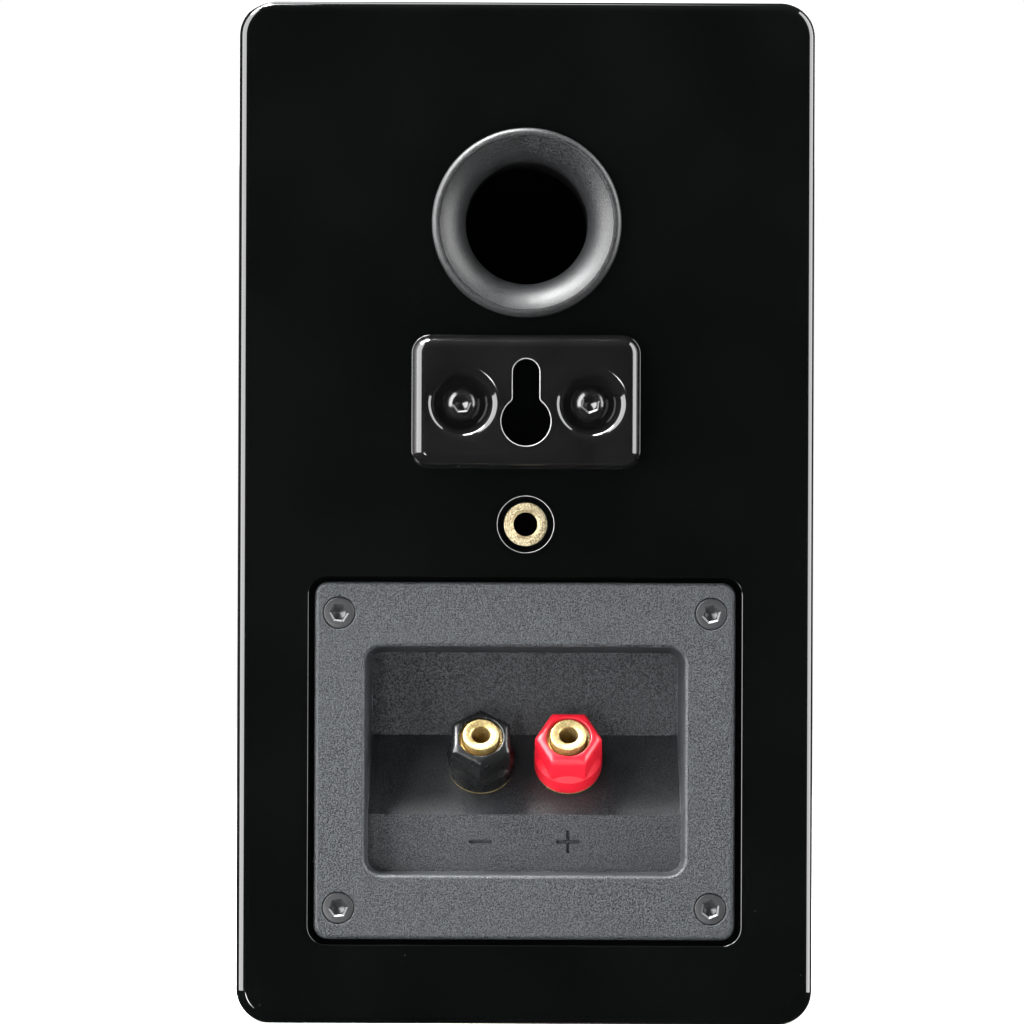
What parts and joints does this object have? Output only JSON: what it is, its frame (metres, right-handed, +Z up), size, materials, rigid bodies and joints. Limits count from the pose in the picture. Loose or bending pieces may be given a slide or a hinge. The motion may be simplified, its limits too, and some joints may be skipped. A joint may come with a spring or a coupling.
{
  "type": "bookshelf speaker",
  "caption": "Compact two-way bookshelf speaker with a gloss cabinet, a flared rear port, a keyhole wall bracket, a threaded insert and recessed binding posts that unscrew",
  "frame": {"origin": "the middle of the whole object's width and depth, at the bottom, on the surface it stands on", "axes": "+Z up; -Y out of the front, which has the drivers; +Y out of the rear, which has the terminals; +X on the left as the rear is seen"},
  "size_m": [0.125, 0.1632, 0.222],
  "materials": {
    "black_lacquer": "high gloss polished lacquer over fibreboard",
    "bracing_board": "raw fibreboard",
    "foam": "open-cell foam",
    "port_plastic": "satin, fine grain",
    "tube_card": "matt",
    "black_steel": "gloss black coat",
    "screw_steel": "black oxide, satin",
    "insert_brass": "turned, bright",
    "plate_plastic": "fine spark-eroded grain",
    "gasket_foam": "matt",
    "gold_plate": "gold plated, polished",
    "zinc_steel": "zinc plated",
    "cap_black": "glossy",
    "cap_red": "glossy",
    "board_green": "solder mask",
    "nylon": "satin",
    "copper_wire": "enamelled copper winding",
    "film_yellow": "film wrap",
    "ceramic_white": "matt cement",
    "lead_red": "insulation",
    "lead_black": "insulation",
    "cast_frame": "satin powder coat",
    "surround_rubber": "satin",
    "cone_paper": "coated paper pulp",
    "spider_cloth": "resin-dipped weave",
    "ferrite": "matt ferrite",
    "tweeter_plastic": "satin",
    "dome_metal": "satin",
    "grille_plastic": "matt",
    "grille_cloth": "stretched knit"
  },
  "bodies": {
    "enclosure": {"cabinet": "black_lacquer", "front_baffle": "black_lacquer", "brace": "bracing_board", "wadding": "foam", "port_flare": "port_plastic", "port_tube": "tube_card", "port_inner_flare": "port_plastic", "wall_bracket": "black_steel", "bracket_screws": "screw_steel", "threaded_insert": "insert_brass", "terminal_plate": "plate_plastic", "terminal_gasket": "gasket_foam", "terminal_screws": "screw_steel", "negative_stud": "gold_plate", "positive_stud": "gold_plate", "post_lock_washers": "zinc_steel", "post_tags": "gold_plate", "post_nuts": "zinc_steel", "crossover_board": "board_green", "crossover_standoffs": "nylon", "crossover_screws": "zinc_steel", "woofer_inductor": "copper_wire", "tweeter_inductor": "copper_wire", "inductor_bobbins": "nylon", "capacitors": "film_yellow", "resistors": "ceramic_white", "positive_leads": "lead_red", "negative_leads": "lead_black", "woofer_frame": "cast_frame", "woofer_gasket": "gasket_foam", "woofer_screws": "screw_steel", "woofer_surround": "surround_rubber", "woofer_spider": "spider_cloth", "woofer_top_plate": "zinc_steel", "woofer_magnet": "ferrite", "woofer_yoke": "zinc_steel", "driver_tags": "gold_plate", "tweeter_faceplate": "tweeter_plastic", "tweeter_gasket": "gasket_foam", "tweeter_screws": "screw_steel", "tweeter_surround": "surround_rubber", "tweeter_top_plate": "zinc_steel", "tweeter_magnet": "ferrite", "tweeter_yoke": "zinc_steel", "tweeter_rear_chamber": "tube_card", "grille_cups": "gasket_foam"},
    "negative_washer": {"negative_clamp_washer": "gold_plate"},
    "negative_cap": {"negative_cap": "cap_black", "negative_cap_bush": "gold_plate"},
    "positive_washer": {"positive_clamp_washer": "gold_plate"},
    "positive_cap": {"positive_cap": "cap_red", "positive_cap_bush": "gold_plate"},
    "woofer_cone": {"woofer_cone": "cone_paper", "woofer_dust_cap": "cone_paper", "woofer_voice_coil": "copper_wire"},
    "tweeter_dome": {"tweeter_dome": "dome_metal", "tweeter_voice_coil": "copper_wire"},
    "grille": {"grille_frame": "grille_plastic", "grille_cloth": "grille_cloth", "grille_pegs": "grille_plastic"}
  },
  "joints": [
    {"name": "negative_cap_rise", "type": "slide", "parent": "enclosure", "child": "negative_washer", "axis": [0, 0.848, 0.5299], "range_m": [0, 0.004]},
    {"name": "negative_cap_turn", "type": "hinge", "parent": "negative_washer", "child": "negative_cap", "pos_m": [0.00953, 0.06752, 0.05908], "axis": [0, 0.848, 0.5299], "range_deg": [0, 1440]},
    {"name": "positive_cap_rise", "type": "slide", "parent": "enclosure", "child": "positive_washer", "axis": [0, 0.848, 0.5299], "range_m": [0, 0.004]},
    {"name": "positive_cap_turn", "type": "hinge", "parent": "positive_washer", "child": "positive_cap", "pos_m": [-0.00953, 0.06752, 0.05908], "axis": [0, 0.848, 0.5299], "range_deg": [0, 1440]},
    {"name": "woofer_stroke", "type": "slide", "parent": "enclosure", "child": "woofer_cone", "axis": [0, -1, 0], "range_m": [-0.004, 0.004], "stiffness_N_per_m": 1100, "deforming": ["woofer_surround", "woofer_spider"]},
    {"name": "tweeter_stroke", "type": "slide", "parent": "enclosure", "child": "tweeter_dome", "axis": [0, -1, 0], "range_m": [-0.00025, 0.00025], "stiffness_N_per_m": 50, "deforming": ["tweeter_surround"]},
    {"name": "grille_pull_off", "type": "slide", "parent": "enclosure", "child": "grille", "axis": [0, -1, 0], "range_m": [0, 0.04]}
  ],
  "couplings": [
    {"joint": "negative_cap_turn", "follows": "negative_cap_rise", "rad_per_m": 6283.2},
    {"joint": "positive_cap_turn", "follows": "positive_cap_rise", "rad_per_m": 6283.2}
  ]
}
